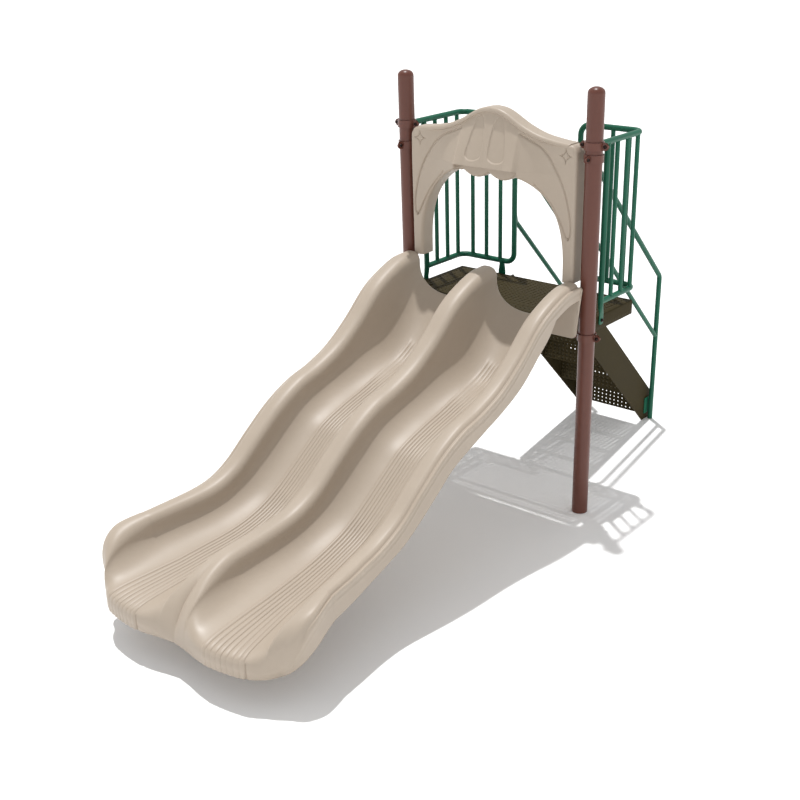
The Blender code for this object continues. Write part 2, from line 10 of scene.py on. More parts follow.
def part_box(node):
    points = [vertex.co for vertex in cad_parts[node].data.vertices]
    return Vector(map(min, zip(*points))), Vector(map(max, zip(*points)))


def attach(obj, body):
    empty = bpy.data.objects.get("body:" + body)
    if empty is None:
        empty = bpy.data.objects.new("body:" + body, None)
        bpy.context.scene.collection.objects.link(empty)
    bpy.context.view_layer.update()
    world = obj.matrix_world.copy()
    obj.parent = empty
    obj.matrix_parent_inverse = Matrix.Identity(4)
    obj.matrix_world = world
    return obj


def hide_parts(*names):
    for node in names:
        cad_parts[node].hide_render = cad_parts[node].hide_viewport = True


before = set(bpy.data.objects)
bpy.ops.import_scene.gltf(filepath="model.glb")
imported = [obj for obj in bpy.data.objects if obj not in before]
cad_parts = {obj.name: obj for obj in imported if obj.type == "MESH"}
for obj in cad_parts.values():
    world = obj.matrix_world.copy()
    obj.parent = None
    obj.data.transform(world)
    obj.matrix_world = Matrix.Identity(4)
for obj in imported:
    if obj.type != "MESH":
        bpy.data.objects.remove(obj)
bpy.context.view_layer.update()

# ---------------------------------------------------------------- dimensions from the frame
def middle(node):
    low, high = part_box(node)
    return (low + high) / 2


def span(node):
    low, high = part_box(node)
    return high - low


Y0 = middle("post_left").y              # the posts' plane; shapes below are drawn from it
POST_X = middle("post_right").x
POST_R = span("post_right").x / 2
POST_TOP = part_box("post_right")[1].z
CAP_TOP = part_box("post_cap_right")[1].z
DECK_LOW, DECK_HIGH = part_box("deck")
GUARD_X = middle("guard_picket_right_1").x
GUARD_Y = middle("guard_picket_right_4").y - Y0
RAIL_R = 0.016
PICKET_R = 0.0125
PANEL_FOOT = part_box("arch_panel")[0].z
SHEET = 0.004                           # steel of the deck and steps


# ---------------------------------------------------------------- shape helpers
def smooth(knots, at):
    """A smooth curve through (position, value) knots, at one or many positions."""
    place, value = np.array(sorted(tuple(k) for k in knots), float).T
    slope = np.empty_like(value)
    slope[1:-1] = (value[2:] - value[:-2]) / (place[2:] - place[:-2])
    slope[0] = (value[1] - value[0]) / (place[1] - place[0])
    slope[-1] = (value[-1] - value[-2]) / (place[-1] - place[-2])
    at = np.clip(at, place[0], place[-1])
    k = np.clip(np.searchsorted(place, at, side="right") - 1, 0, len(place) - 2)
    gap = place[k + 1] - place[k]
    t = (at - place[k]) / gap
    near = value[k] * (2 * t**3 - 3 * t**2 + 1) + slope[k] * gap * (t**3 - 2 * t**2 + t)
    far = value[k + 1] * (3 * t**2 - 2 * t**3) + slope[k + 1] * gap * (t**3 - t**2)
    return near + far


def ease(value, low, high):
    t = np.clip((value - low) / (high - low), 0, 1)
    return t * t * (3 - 2 * t)


def add_piece(obj, replaced, material, smooth_angle=0.7):
    """Put a finished piece on the object, standing for CAD nodes."""
    bpy.context.scene.collection.objects.link(obj)
    obj.location.y += Y0
    obj.data.materials.append(material)
    obj.data.shade_smooth()
    obj.data.set_sharp_from_angle(angle=smooth_angle)
    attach(obj, "root")
    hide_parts(*replaced)


def grid_object(name, points, close_columns=False):
    """A quad mesh over an array of rows and columns of points."""
    rows, columns, _ = points.shape
    index = np.arange(rows * columns).reshape(rows, columns)
    right = np.roll(index, -1, axis=1) if close_columns else index[:, 1:]
    left = index if close_columns else index[:, :-1]
    faces = np.stack((left[:-1], left[1:], right[1:], right[:-1]), axis=-1).reshape(-1, 4)
    mesh = bpy.data.meshes.new(name)
    mesh.vertices.add(rows * columns)
    mesh.vertices.foreach_set("co", points.astype(np.float32).ravel())
    mesh.loops.add(len(faces) * 4)
    mesh.loops.foreach_set("vertex_index", faces.astype(np.int32).ravel())
    mesh.polygons.add(len(faces))
    mesh.polygons.foreach_set("loop_start", np.arange(0, len(faces) * 4, 4, dtype=np.int32))
    mesh.update(calc_edges=True)
    mesh.validate()
    return bpy.data.objects.new(name, mesh)


def bm_object(name, bm):
    bmesh.ops.recalc_face_normals(bm, faces=bm.faces)
    mesh = bpy.data.meshes.new(name)
    bm.to_mesh(mesh)
    bm.free()
    return bpy.data.objects.new(name, mesh)


def bent_path(corners, radius, steps=10):
    """Points along straight runs whose corners are rounded to one radius."""
    corners = [Vector(c) for c in corners]
    points = [corners[0]]
    for before, corner, after in zip(corners, corners[1:], corners[2:]):
        into = (corner - before).normalized()
        out = (after - corner).normalized()
        turn = into.angle(out)
        centre = corner + (out - into).normalized() * (radius / math.cos(turn / 2))
        arm = corner - into * radius * math.tan(turn / 2) - centre
        axis = into.cross(out).normalized()
        for i in range(steps + 1):
            angle = turn * i / steps
            points.append(centre + arm * math.cos(angle) + axis.cross(arm) * math.sin(angle))
    points.append(corners[-1])
    return points


def tube(name, points, radius, resolution=6):
    """A round tube along a path, as a mesh with closed ends."""
    curve = bpy.data.curves.new(name, "CURVE")
    curve.dimensions = "3D"
    curve.bevel_depth = radius
    curve.bevel_resolution = resolution
    curve.use_fill_caps = True
    spline = curve.splines.new("POLY")
    spline.points.add(len(points) - 1)
    for knot, point in zip(spline.points, points):
        knot.co = (*point, 1.0)
    holder = bpy.data.objects.new(name + "_path", curve)
    bpy.context.scene.collection.objects.link(holder)
    bpy.context.view_layer.update()
    mesh = bpy.data.meshes.new_from_object(
        holder.evaluated_get(bpy.context.evaluated_depsgraph_get()))
    bpy.data.objects.remove(holder)
    bm = bmesh.new()
    bm.from_mesh(mesh)
    bmesh.ops.remove_doubles(bm, verts=bm.verts, dist=0.00005)
    return bm_object(name, bm)


def rings_object(name, rings):
    """A body through rings of points, with flat ends."""
    bm = bmesh.new()
    loops = [[bm.verts.new(point) for point in ring] for ring in rings]
    size = len(loops[0])
    for low, high in zip(loops, loops[1:]):
        for i in range(size):
            j = (i + 1) % size
            bm.faces.new((low[i], low[j], high[j], high[i]))
    bm.faces.new(loops[0])
    bm.faces.new(loops[-1])
    return bm_object(name, bm)


def turned(name, profile, steps=48):
    """A profile of (radius, height) points turned about z."""
    rings = []
    for radius, height in profile:
        ring = []
        for i in range(steps):
            angle = 2 * math.pi * i / steps
            ring.append((max(radius, 1e-5) * math.cos(angle), max(radius, 1e-5) * math.sin(angle),
                         height))
        rings.append(ring)
    return rings_object(name, rings)


def soften_edges(obj, width):
    bevel = obj.modifiers.new("edge", "BEVEL")
    bevel.width = width
    bevel.segments = 2
    bevel.limit_method = "ANGLE"
    bevel.angle_limit = 0.6


# ---------------------------------------------------------------- materials
def node(tree, kind, **inputs):
    made = tree.nodes.new(kind)
    for key, value in inputs.items():
        made.inputs[key.replace("_", " ")].default_value = value
    return made


def coated(name, colour, roughness, grain, grain_depth, blotch, specular, edge):
    """A surface with fine moulding or coating grain, soft blotches and rubbed edges."""
    material = bpy.data.materials.new(name)
    material.use_nodes = True
    tree = material.node_tree
    shader = tree.nodes["Principled BSDF"]
    shader.inputs["Specular IOR Level"].default_value = specular
    link = tree.links.new
    place = tree.nodes.new("ShaderNodeTexCoord")

    large = node(tree, "ShaderNodeTexNoise", Scale=3.0, Detail=5.0, Roughness=0.6)
    link(place.outputs["Object"], large.inputs["Vector"])
    mottle = node(tree, "ShaderNodeTexNoise", Scale=42.0, Detail=4.0, Roughness=0.65)
    link(place.outputs["Object"], mottle.inputs["Vector"])
    mixed = tree.nodes.new("ShaderNodeMath")
    mixed.operation = "MULTIPLY_ADD"
    mixed.inputs[1].default_value = 0.35
    link(mottle.outputs["Fac"], mixed.inputs[0])
    link(large.outputs["Fac"], mixed.inputs[2])

    ramp = tree.nodes.new("ShaderNodeValToRGB")
    ramp.color_ramp.elements[0].position = 0.45
    ramp.color_ramp.elements[1].position = 0.95
    dark = [c * (1 - blotch) for c in colour]
    light = [min(c * (1 + blotch * 0.6), 1.0) for c in colour]
    ramp.color_ramp.elements[0].color = (*dark, 1)
    ramp.color_ramp.elements[1].color = (*light, 1)
    link(mixed.outputs[0], ramp.inputs["Fac"])

    geometry = tree.nodes.new("ShaderNodeNewGeometry")
    rub = tree.nodes.new("ShaderNodeMapRange")
    rub.inputs["From Min"].default_value = 0.53
    rub.inputs["From Max"].default_value = 0.62
    rub.inputs["To Max"].default_value = edge
    link(geometry.outputs["Pointiness"], rub.inputs["Value"])
    worn = tree.nodes.new("ShaderNodeMix")
    worn.data_type = "RGBA"
    worn.inputs["B"].default_value = (*[min(c * 1.5 + 0.03, 1) for c in colour], 1)
    link(rub.outputs["Result"], worn.inputs["Factor"])
    link(ramp.outputs["Color"], worn.inputs["A"])
    link(worn.outputs["Result"], shader.inputs["Base Color"])

    rough = tree.nodes.new("ShaderNodeMapRange")
    rough.inputs["From Min"].default_value = 0.3
    rough.inputs["From Max"].default_value = 1.0
    rough.inputs["To Min"].default_value = roughness - 0.06
    rough.inputs["To Max"].default_value = roughness + 0.08
    link(mixed.outputs[0], rough.inputs["Value"])
    link(rough.outputs["Result"], shader.inputs["Roughness"])

    fine = node(tree, "ShaderNodeTexNoise", Scale=grain, Detail=2.0, Roughness=0.5)
    link(place.outputs["Object"], fine.inputs["Vector"])
    bump = tree.nodes.new("ShaderNodeBump")
    bump.inputs["Strength"].default_value = 0.5
    bump.inputs["Distance"].default_value = grain_depth
    link(fine.outputs["Fac"], bump.inputs["Height"])
    link(bump.outputs["Normal"], shader.inputs["Normal"])
    return material


def make_materials():
    plastic = coated("tan_polyethylene", (0.405, 0.338, 0.270), 0.43, grain=420.0,
                     grain_depth=0.00020, blotch=0.04, specular=0.40, edge=0.12)
    post = coated("brown_powder_coat", (0.118, 0.040, 0.027), 0.34, grain=700.0,
                  grain_depth=0.00012, blotch=0.10, specular=0.35, edge=0.10)
    green = coated("green_powder_coat", (0.006, 0.102, 0.056), 0.36, grain=700.0,
                   grain_depth=0.00012, blotch=0.12, specular=0.26, edge=0.10)
    deck = coated("brown_vinyl_coat", (0.040, 0.030, 0.011), 0.62, grain=520.0,
                  grain_depth=0.00030, blotch=0.20, specular=0.08, edge=0.10)
    steel = coated("dark_bolt_steel", (0.020, 0.009, 0.007), 0.45, grain=900.0,
                   grain_depth=0.00008, blotch=0.25, specular=0.4, edge=0.3)
    steel.node_tree.nodes["Principled BSDF"].inputs["Metallic"].default_value = 0.6
    return {"plastic": plastic, "post": post, "green": green, "deck": deck, "steel": steel}


M = make_materials()

# ---------------------------------------------------------------- slide
SLIDE_Y = -0.060
NOSE_Y = -2.100
LIP_Z = 0.170
NOSE_FALL = 0.030
WALL = 0.008
RIDGE_HALF = 0.064
RIDGE_HIGH = 0.064
RIDGE_POWER = 2.6
CHUTE_POWER = 2.3
FLANGE_HALF = 0.585
FLANGE_LOW = 1.052
ENTRY_ROUND = 0.016

CREST = ((-0.06, 1.362), (-0.18, 1.351), (-0.33, 1.298), (-0.44, 1.237), (-0.60, 1.104),
         (-0.76, 0.998), (-0.92, 0.933), (-1.08, 0.890), (-1.24, 0.814), (-1.40, 0.706),
         (-1.56, 0.590), (-1.70, 0.530), (-1.86, 0.506), (-2.10, 0.490))
CHUTE = ((-0.06, 1.148), (-0.12, 1.108), (-0.25, 0.990), (-0.37, 0.902), (-0.46, 0.858),
         (-0.60, 0.820), (-0.76, 0.773), (-0.93, 0.730), (-1.09, 0.676), (-1.20, 0.608),
         (-1.40, 0.475), (-1.52, 0.407), (-1.64, 0.364), (-1.80, 0.330), (-2.10, 0.300))
SKIRT = ((-0.06, 1.277), (-0.20, 1.275), (-0.27, 1.258), (-0.36, 1.150), (-0.45, 1.076),
         (-0.60, 0.957), (-0.76, 0.878), (-0.92, 0.818), (-1.08, 0.757), (-1.18, 0.712),
         (-1.28, 0.642), (-1.42, 0.545), (-1.56, 0.462), (-1.72, 0.410), (-1.90, 0.375),
         (-2.10, 0.345))
RAIL_X = ((-0.06, 0.546), (-1.62, 0.546), (-1.80, 0.563), (-1.95, 0.590), (-2.10, 0.613))
RAIL_OUT = ((-0.06, 0.062), (-1.62, 0.062), (-2.10, 0.044))
LIP_END_X = ((0, 0.0), (0.15, 0.085), (0.326, 0.230), (0.40, 0.348), (0.474, 0.466),
             (0.65, 0.545), (0.8, 0.578), (1, 0.592))
LIP_END_Y = ((0, -2.478), (0.15, -2.489), (0.326, -2.512), (0.40, -2.505), (0.474, -2.480),
             (0.65, -2.428), (0.8, -2.375), (1, -2.345))
NOSE_POWER = ((0, 1.8), (0.15, 3.0), (0.24, 6.0), (0.326, 8.0), (0.474, 8.0), (0.56, 5.0),
              (0.65, 3.9), (0.8, 3.6), (0.9, 2.4), (1, 1.45))
NOSE_FLARE = ((0, 0.0), (0.5, 0.0), (0.8, 0.042), (1, 0.018))
NOSE_TUCK = ((0, 0.0), (0.5, 0.0), (0.75, 1.0), (1, 1.0))

# how the rail's outer side steps down from its crest: (run, out, down)
RAIL_SIDE = ((0, 0, 0), (0.14, 0.020, 0.0025), (0.26, 0.033, 0.0105), (0.34, 0.0385, 0.0185),
             (0.40, 0.0425, 0.0215), (0.46, 0.0470, 0.0190), (0.52, 0.0520, 0.0170),
             (0.60, 0.0585, 0.0210), (0.68, 0.0610, 0.030), (0.76, 0.0590, 0.041),
             (0.84, 0.0600, 0.050), (0.90, 0.0620, 0.056), (1.0, 0.0610, 0.068))

RAIL_REACH = 0.062           # the run's width on the upper slide
SKIRT_TOP = (0.061, 0.068)   # out and down from the crest to the plain skirt
RIDGE_STEPS = 13             # points over half a ridge
RIB_COLUMNS = 177
RIB_BAND = 0.42              # half the ribbed share of the chute's width
RIBS = 8
RIB_NOSE = 0.0062            # height over the nose
RIB_PITCH = 0.0475           # share of the chute's width
GROOVE_GAP = 0.4             # ribs between the last rib and the lip's groove
GROOVE_DEPTH = 0.0050
RIB_HEIGHT = ((-2.10, 0.0062), (-1.50, 0.0062), (-1.42, 0.0042), (-1.16, 0.0038),
              (-1.06, 0.0050), (-0.72, 0.0050), (-0.62, 0.0022), (-0.48, 0.0016),
              (-0.42, 0.0028), (-0.36, 0.0028), (-0.33, 0.0))


def chute_angles():
    """Angles of the lines across a chute: close together where the ribs run."""
    edge = np.arccos(RIB_BAND ** (CHUTE_POWER / 2))
    ribs = np.linspace(-RIB_BAND, RIB_BAND, RIB_COLUMNS)
    inner = np.pi / 2 + np.sign(ribs) * (np.pi / 2 - np.arccos(np.abs(ribs) ** (CHUTE_POWER / 2)))
    left = np.linspace(0, edge, 24)[1:-1]
    right = np.pi - left[::-1]
    return np.concatenate((left, inner, right))


def chute_across(angles):
    """Share of the chute's width at each angle of its superellipse."""
    c = np.cos(angles)
    return 0.5 - 0.5 * np.sign(c) * np.abs(c) ** (2 / CHUTE_POWER)


def half_section(y, angles):
    """(share, x, z) arrays of half a cross-section, from the middle to the skirt's edge."""
    power = 2 / RIDGE_POWER
    chute_power = 2 / CHUTE_POWER
    crest = smooth(CREST, y)
    low = smooth(CHUTE, y)
    rail = smooth(RAIL_X, y)
    spring = crest - RIDGE_HIGH
    t = np.linspace(0, np.pi / 2, RIDGE_STEPS)
    x = [RIDGE_HALF * np.sin(t) ** power]
    z = [spring + RIDGE_HIGH * np.maximum(np.cos(t), 0) ** power]
    share = [0.15 * t / (np.pi / 2)]
    c = np.cos(angles)
    x.append(rail / 2 - (rail / 2 - RIDGE_HALF) * np.sign(c) * np.abs(c) ** chute_power)
    z.append(spring - (spring - low) * np.sin(angles) ** chute_power)
    share.append(0.15 + 0.25 * (angles / np.pi + chute_across(angles)))
    t = np.linspace(np.pi / 2, 0, RIDGE_STEPS)[:-1]
    x.append(rail - RIDGE_HALF * np.sin(t) ** power)
    z.append(spring + RIDGE_HIGH * np.maximum(np.cos(t), 0) ** power)
    share.append(0.65 + 0.15 * (1 - t / (np.pi / 2)))
    outer = smooth(RAIL_OUT, y) / RAIL_REACH
    run = np.linspace(0, 1, 33)
    side = np.array(RAIL_SIDE)
    x.append(rail + smooth(side[:, (0, 1)], run) * outer)
    z.append(crest - smooth(side[:, (0, 2)], run))
    share.append(0.80 + 0.15 * run)
    skirt = min(smooth(SKIRT, y), crest - 0.085)
    down = np.linspace(0, 1, 9)[1:]
    x.append(np.full(8, rail + SKIRT_TOP[0] * outer))
    z.append(crest - SKIRT_TOP[1] + (skirt - crest + SKIRT_TOP[1]) * down)
    share.append(0.95 + 0.05 * down)
    return np.concatenate(share), np.concatenate(x), np.concatenate(z)


def slide_half():
    """Rows of points over half the slide, its chute's angles and the rows before the nose."""
    angles = chute_angles()
    share, x, z = half_section(SLIDE_Y, angles)
    rows = [flange_foot(share, x)]
    along_x = np.gradient(x)
    along_z = np.gradient(z)
    length = np.hypot(along_x, along_z)
    for turn in np.linspace(np.pi / 2, 0, 6):
        pull = ENTRY_ROUND * (1 - math.cos(turn))
        y = SLIDE_Y - ENTRY_ROUND * (1 - math.sin(turn))
        share, x, z = half_section(y, angles)
        rows.append(np.stack((x + along_z / length * pull, np.full_like(x, y),
                              z - along_x / length * pull), axis=-1))
    for y in np.linspace(SLIDE_Y - ENTRY_ROUND, NOSE_Y, 171)[1:]:
        share, x, z = half_section(y, angles)
        rows.append(np.stack((x, np.full_like(x, y), z), axis=-1))
    body_rows = len(rows)
    power = smooth(NOSE_POWER, share)
    tuck = np.clip(smooth(NOSE_TUCK, share), 0, 1)
    end_x = smooth(LIP_END_X, share)
    end_y = smooth(LIP_END_Y, share)
    flare = smooth(NOSE_FLARE, share)
    late = 1.3 + 1.2 * ease(share, 0.8, 1.0)
    for along in np.sin(np.linspace(0, np.pi / 2, 61)[1:]):
        drop = (1 - min(along, 1) ** power) ** (1 / power)
        pull = (1 - tuck) * along + tuck * (1 - drop) ** late
        wide = x + flare * ease(along, -0.15, 0.60)
        rows.append(np.stack((wide + (end_x - wide) * pull,
                              NOSE_Y + (end_y - NOSE_Y) * along,
                              LIP_Z + (z - NOSE_FALL * along - LIP_Z) * drop), axis=-1))
    return np.array(rows), angles, body_rows


def flange_foot(share, x):
    """The lower and outer edge of the plate that closes the slide's upper end."""
    corner = 0.035
    bottom = FLANGE_HALF - corner
    turn = np.linspace(0, np.pi / 2, 8)
    px = np.concatenate(([0, bottom], bottom + corner * np.sin(turn[1:]), [FLANGE_HALF]))
    pz = np.concatenate(([FLANGE_LOW] * 2, FLANGE_LOW + corner * (1 - np.cos(turn[1:])), [1.265]))
    run = np.concatenate(([0], np.cumsum(np.hypot(np.diff(px), np.diff(pz)))))
    reach = np.where(share < 0.65, x / x[share < 0.65][-1] * 0.50,
                     0.50 + (run[-1] - 0.50) * ((share - 0.65) / 0.35) ** 2)
    return np.stack((np.interp(reach, run, px), np.full_like(x, SLIDE_Y),
                     np.interp(reach, run, pz)), axis=-1)


def rib_heights(points, angles, body_rows, groove_at):
    """Height of the ribs over the half surface, with the lip's one deep groove."""
    phase = (chute_across(angles) - 0.5) / RIB_PITCH + RIBS / 2
    bead = np.zeros(points.shape[1])
    bead[RIDGE_STEPS:RIDGE_STEPS + len(angles)] = np.where(
        (phase > 0) & (phase < RIBS), np.abs(np.sin(np.pi * phase)) ** 0.5, 0)
    height = smooth(RIB_HEIGHT, points[:, :, 1].mean(axis=1))
    height[:7] = 0
    nose = np.arange(len(points)) - body_rows
    turn = np.sin(np.pi / 2 * np.clip(nose, 0, 60) / 60)
    height = np.where(nose > 0, RIB_NOSE * (1 - 0.55 * ease(turn, 0.955, 0.985)), height)
    groove = np.zeros(points.shape[1])
    groove[RIDGE_STEPS:RIDGE_STEPS + len(angles)] = np.exp(-((phase - groove_at) / 0.12) ** 2)
    deep = GROOVE_DEPTH * ease(turn, 0.975, 0.990)
    return height[:, None] * bead[None, :] - deep[:, None] * groove[None, :]


def make_slide():
    """Both halves of the shell with their ribs, given a wall."""
    points, angles, body_rows = slide_half()
    left = rib_heights(points, angles, body_rows, -GROOVE_GAP)
    right = rib_heights(points, angles, body_rows, RIBS + GROOVE_GAP)
    full = np.concatenate((points[:, :0:-1] * (-1, 1, 1), points), axis=1)
    height = np.concatenate((left[:, :0:-1], right), axis=1)
    down = np.gradient(full, axis=0)
    across = np.gradient(full, axis=1)
    normal = np.cross(down, across)
    normal /= np.maximum(np.linalg.norm(normal, axis=2, keepdims=True), 1e-9)
    full = full + normal * height[:, :, None]
    obj = grid_object("slide_shell", full)
    wall = obj.modifiers.new("wall", "SOLIDIFY")
    wall.thickness = WALL
    wall.offset = -1
    add_piece(obj, ["slide"], M["plastic"], smooth_angle=0.9)


# ---------------------------------------------------------------- arch panel
ARCH_Z = 1.400
ARCH_HALF = 0.470
ARCH_RISE = 0.486
ARCH_POWER = 2.5
PANEL_HALF = 0.540
PANEL_FRONT = -0.052
PANEL_T = 0.100
PANEL_EDGE = 0.018
PANEL_SHOULDER = 2.052
PANEL_CORNER = 0.045
VALANCE_HALF = 0.208
SCALLOP = 0.170
TOP_LINE = ((0, 2.197), (0.05, 2.191), (0.10, 2.174), (0.20, 2.122), (0.30, 2.085),
            (0.40, 2.067), (0.50, 2.057), (0.55, 2.055))


def valance(x):
    """Lower edge over the opening: a scallop and a short end on each side."""
    x = np.abs(x)
    inner = 1.864 - 0.034 * np.sin(np.pi * np.clip(x / SCALLOP, 0, 1)) ** 0.8
    outer = 1.862 - 0.006 * np.sin(np.pi * np.clip((x - SCALLOP) / 0.038, 0, 1))
    return np.where(x < SCALLOP, inner, outer)


def polar(x, z):
    """Angle and radius about the arch's centre, sorted by angle."""
    angle = np.arctan2(z - ARCH_Z, x)
    order = np.argsort(angle)
    return angle[order], np.hypot(x, z - ARCH_Z)[order]


def opening_edge():
    t = np.linspace(0, np.pi / 2, 400)
    x = ARCH_HALF * np.cos(t) ** (2 / ARCH_POWER)
    z = ARCH_Z + ARCH_RISE * np.sin(t) ** (2 / ARCH_POWER)
    keep = x > VALANCE_HALF
    xs = np.linspace(VALANCE_HALF, 0, 300)
    x = np.concatenate((x[keep], xs))
    z = np.concatenate((z[keep], valance(xs)))
    return polar(np.concatenate((x, -x)), np.concatenate((z, z)))


def outer_edge():
    corner = PANEL_CORNER
    side = np.linspace(ARCH_Z, PANEL_SHOULDER - corner, 60)
    t = np.linspace(0, np.pi / 2, 40)
    top = np.linspace(PANEL_HALF - corner, 0, 300)
    x = np.concatenate((np.full(60, PANEL_HALF), PANEL_HALF - corner * (1 - np.cos(t)), top))
    z = np.concatenate((side, PANEL_SHOULDER - corner * (1 - np.sin(t)), smooth(TOP_LINE, top)))
    return polar(np.concatenate((x, -x)), np.concatenate((z, z)))


def distance_to_line(x, z, points, closed=False):
    """Distance from (x, z) to a smooth line through points, all on the right half."""
    points = list(points) + ([points[0]] if closed else [])
    line = np.array(points)
    run = np.concatenate(([0], np.cumsum(np.hypot(*np.diff(line, axis=0).T))))
    at = np.linspace(0, run[-1], 8 * len(points))
    px = smooth(np.stack((run, line[:, 0]), axis=-1), at)
    pz = smooth(np.stack((run, line[:, 1]), axis=-1), at)
    best = np.full(x.shape, 1e9)
    for ax, az, bx, bz in zip(px, pz, px[1:], pz[1:]):
        t = np.clip(((x - ax) * (bx - ax) + (z - az) * (bz - az))
                    / ((bx - ax) ** 2 + (bz - az) ** 2), 0, 1)
        best = np.minimum(best, np.hypot(x - ax - t * (bx - ax), z - az - t * (bz - az)))
    inside = np.zeros(x.shape, bool)
    if closed:
        for ax, az, bx, bz in zip(px, pz, px[1:], pz[1:]):
            crosses = (az > z) != (bz > z)
            slope = (bx - ax) / (bz - az) if bz != az else 0
            inside ^= crosses & (x < ax + (z - az) * slope)
    return np.where(inside, -best, best)


# embossed lines of the front face, right half: (x, z)
FINGER = ((0.080, 1.925), (0.056, 1.928), (0.026, 1.945), (0.020, 1.990), (0.022, 2.050),
          (0.030, 2.110), (0.043, 2.144), (0.062, 2.155), (0.082, 2.143), (0.095, 2.110),
          (0.109, 2.055), (0.122, 1.995), (0.128, 1.948), (0.108, 1.929))
SWAG_OUTER = ((0.190, 2.078), (0.246, 2.054), (0.313, 2.028), (0.365, 1.988), (0.410, 1.932),
              (0.452, 1.866), (0.486, 1.785), (0.508, 1.705), (0.517, 1.640), (0.514, 1.595),
              (0.503, 1.576))
SWAG_INNER = ((0.300, 1.838), (0.345, 1.795), (0.390, 1.750), (0.430, 1.695), (0.462, 1.640),
              (0.488, 1.590), (0.503, 1.576))
STAR_X = 0.475
STAR_Z = 1.997
CANOPY_LOW = 1.896
CANOPY_REACH = 0.084
VALANCE_REACH = 0.026


def canopy_reach(x, z):
    """How far the tent-like middle of the panel stands forward of its flat face."""
    start = smooth(TOP_LINE, x) - 0.028
    t = np.clip((start - z) / (start - CANOPY_LOW), 0, 1)
    low = np.clip((2.05 - z) / (2.05 - CANOPY_LOW), 0, 1)
    crest = 0.183 + 0.008 * low
    side = (1 - np.clip((x - crest) / (0.47 - crest), 0, 1)) ** 1.5
    side = side * (1 - 0.24 * ease(x, crest - 0.006, crest + 0.024))
    tent = CANOPY_REACH * t * (1.12 - 0.12 * t) * side
    pleat = 0.004 * np.abs(np.sin(np.pi * np.clip(x / crest, 0, 1) * 1.5)) * t
    under = 1 - ease(z, CANOPY_LOW - 0.004, CANOPY_LOW + 0.002)
    under = under * (1 - ease(x, VALANCE_HALF - 0.010, VALANCE_HALF))
    return (tent + pleat) * (1 - under) + VALANCE_REACH * under


def panel_relief(x, z, from_top):
    """How far the front face is set back by its rim, swags, fingers and stars."""
    back = 0.0060 * (1 - ease(distance_to_line(x, z, FINGER, closed=True), -0.004, 0.002))
    for line in (SWAG_OUTER, SWAG_INNER):
        back = back + 0.0075 * np.exp(-(distance_to_line(x, z, line) / 0.0050) ** 2)
    across = np.abs(x - STAR_X)
    up = np.abs(z - STAR_Z)
    star = np.sqrt(across) + np.sqrt(up)
    ring = np.exp(-((star - 0.205) / 0.020) ** 2) * (across < 0.042) * (up < 0.042)
    back = back + 0.0050 * ring
    fade = 1 - ease(x, 0.34, 0.50)
    return back + 0.011 * ease(from_top, 0.020, 0.030) * fade


PANEL_SPOKES = 901
PANEL_RINGS = 150


def make_panel():
    """The arch as rings of points between its opening and its outline, front and rear."""
    phi_in, r_in = opening_edge()
    phi_out, r_out = outer_edge()
    phi = np.linspace(0, np.pi, PANEL_SPOKES)
    inner = np.interp(phi, phi_in, r_in)
    outer = np.interp(phi, phi_out, r_out)
    feet = np.linspace(PANEL_FOOT, ARCH_Z, 24)[:-1]
    ends = np.full(len(feet), 1.0)
    ix = np.concatenate((ends * ARCH_HALF, inner * np.cos(phi), -ends * ARCH_HALF))
    iz = np.concatenate((feet, ARCH_Z + inner * np.sin(phi), feet[::-1]))
    ox = np.concatenate((ends * PANEL_HALF, outer * np.cos(phi), -ends * PANEL_HALF))
    oz = np.concatenate((feet, ARCH_Z + outer * np.sin(phi), feet[::-1]))
    width = np.hypot(ox - ix, oz - iz)[:, None]
    turn = np.linspace(0, np.pi / 2, 7)
    edge = PANEL_EDGE * (1 - np.cos(turn))
    drop = PANEL_EDGE * (1 - np.sin(turn))

    def face(rings):
        flat = np.linspace(0, 1, rings)[1:-1]
        d = np.concatenate((np.tile(edge, (len(ix), 1)),
                            PANEL_EDGE + (width - 2 * PANEL_EDGE) * flat,
                            width - edge[::-1]), axis=1)
        back = np.concatenate((drop, np.zeros(rings - 2), drop[::-1]))
        x = ix[:, None] + (ox - ix)[:, None] * d / width
        z = iz[:, None] + (oz - iz)[:, None] * d / width
        return x, z, np.tile(back, (len(ix), 1)), width - d

    x, z, back, from_top = face(PANEL_RINGS)
    right = np.abs(x)
    flat_front = PANEL_FRONT + panel_relief(right, z, from_top) - canopy_reach(right, z)
    front = np.stack((x, flat_front + back, z), axis=-1)
    x, z, back, _ = face(14)
    rear = np.stack((x, PANEL_FRONT + PANEL_T - back, z), axis=-1)
    points = np.concatenate((front, rear[:, ::-1]), axis=1)
    obj = grid_object("arch_panel_skin", points, close_columns=True)
    bm = bmesh.new()
    bm.from_mesh(obj.data)
    bmesh.ops.holes_fill(bm, edges=[e for e in bm.edges if e.is_boundary])
    bmesh.ops.recalc_face_normals(bm, faces=bm.faces)
    bm.to_mesh(obj.data)
    bm.free()
    add_piece(obj, ["arch_panel"], M["plastic"], smooth_angle=0.9)


# ---------------------------------------------------------------- posts and clamps
def make_posts():
    for side, sign in (("left", -1), ("right", 1)):
        post = turned("post_tube_" + side, ((POST_R - 0.004, 0.0), (POST_R, 0.0005),
                                            (POST_R, POST_TOP - 0.004), (POST_R, POST_TOP)))
        post.location.x = sign * POST_X
        add_piece(post, ["post_" + side], M["post"])
        rim = POST_TOP
        rise = CAP_TOP - rim
        profile = [(POST_R - 0.006, rim - 0.020), (POST_R - 0.006, rim)]
        for i in range(13):
            angle = math.pi / 2 * i / 12
            profile.append((POST_R * math.cos(angle) ** 0.9, rim + rise * math.sin(angle)))
        cap = turned("post_dome_" + side, profile)
        cap.location.x = sign * POST_X
        add_piece(cap, ["post_cap_" + side], M["post"])


